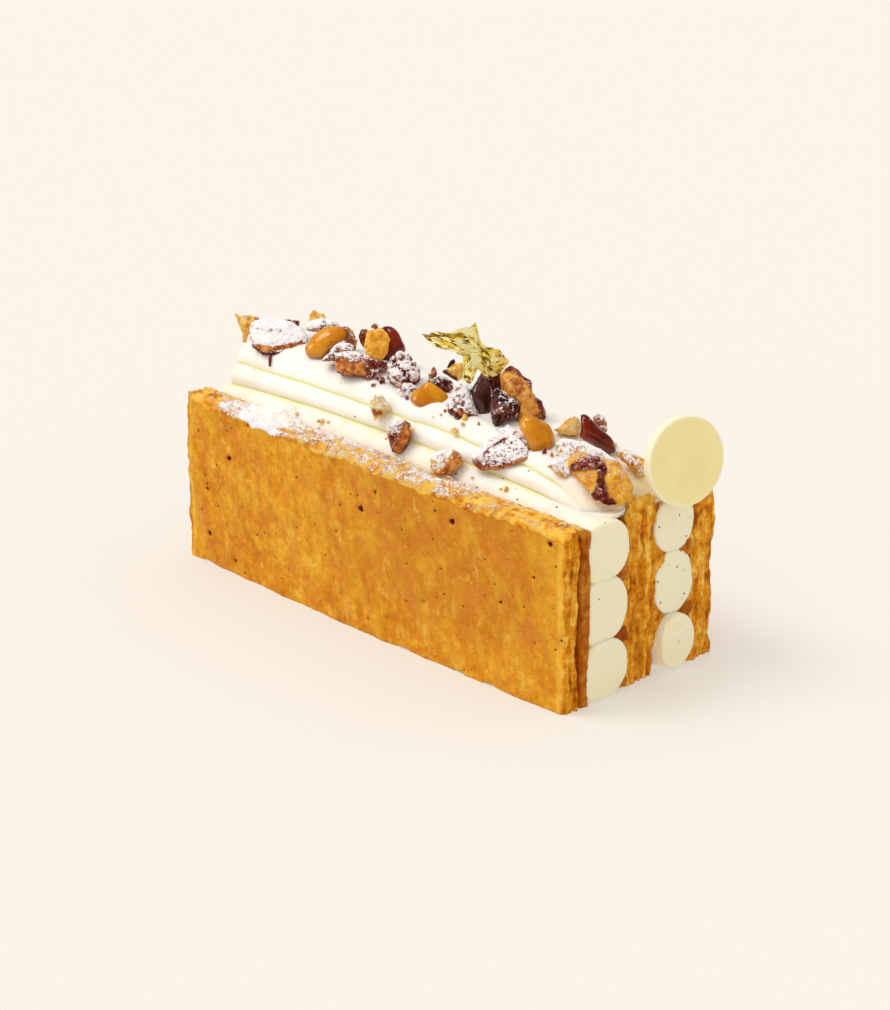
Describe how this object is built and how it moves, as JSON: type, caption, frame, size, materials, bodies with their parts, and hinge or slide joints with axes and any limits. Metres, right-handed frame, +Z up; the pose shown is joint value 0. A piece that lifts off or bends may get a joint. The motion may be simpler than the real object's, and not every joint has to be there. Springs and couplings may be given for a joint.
{
  "type": "mille feuille slice",
  "caption": "Slice of mille feuille on its side: upright puff pastry sheets with piped cream tubes between them, a band of cream on top, nuts, caramel, gold leaf and a plain white chocolate disc.",
  "frame": {"origin": "middle of the footprint, on the surface that the slice stands on", "axes": "+X along the slice to the end with the disc, -Y out of the broad front face, +Z up"},
  "size_m": [0.131, 0.0493, 0.0721],
  "materials": {
    "puff_pastry": "golden brown caramelised puff pastry, layered edges, dull with a faint gloss",
    "vanilla_cream": "soft pale yellow cream with vanilla specks",
    "white_cream": "whipped white cream, smooth and soft",
    "ivory_chocolate": "moulded pale yellow white chocolate, satin",
    "gold_leaf": "crumpled edible gold leaf, shiny",
    "amber_wafer": "crisp amber sugar wafer",
    "caramel": "soft glossy caramel",
    "dark_caramel": "glossy dark red-brown caramel",
    "dark_chocolate": "dark chocolate, half gloss",
    "caramelised_nut": "brown caramelised nut with sugar grains",
    "dusted_nut": "brown nut under icing sugar"
  },
  "bodies": {
    "root": {"pastry_front": "puff_pastry", "pastry_middle": "puff_pastry", "pastry_rear": "puff_pastry", "cream_front_low": "vanilla_cream", "cream_front_mid": "vanilla_cream", "cream_front_top": "vanilla_cream", "cream_rear_low": "vanilla_cream", "cream_rear_mid": "vanilla_cream", "cream_rear_top": "vanilla_cream", "cream_white_top": "white_cream", "chocolate_disc": "ivory_chocolate", "gold_leaf": "gold_leaf", "wafer_shard_left": "amber_wafer", "pecan_dusted_large": "dusted_nut", "nut_brown_left": "caramelised_nut", "wafer_shard_small": "amber_wafer", "nut_dusted_back": "dusted_nut", "caramel_long": "caramel", "nut_brown_centre": "caramelised_nut", "cluster_dusted_small": "dusted_nut", "nut_dusted_brown": "caramelised_nut", "nugget_round": "amber_wafer", "nut_brown_nugget": "caramelised_nut", "chocolate_ball": "dark_caramel", "cluster_dusted_rough": "dusted_nut", "cluster_foot": "dusted_nut", "caramel_drop_front": "caramel", "crumb_dark": "dark_chocolate", "wafer_shard_back": "amber_wafer", "nut_dusted_front": "dusted_nut", "chocolate_drop": "dark_chocolate", "nut_dark_dusted": "caramelised_nut", "pecan_tall": "caramelised_nut", "caramel_flow": "caramel", "pecan_flat_dusted": "dusted_nut", "wafer_shard_pale": "amber_wafer", "drop_dark_caramel": "dark_caramel", "crumbs_dusted": "caramelised_nut", "pecan_striped": "caramelised_nut", "crumbs_right": "dusted_nut", "crumb_pale_front": "amber_wafer", "chunk_brown_front": "caramelised_nut", "chunk_dusted_front": "dusted_nut"}
  },
  "joints": []
}
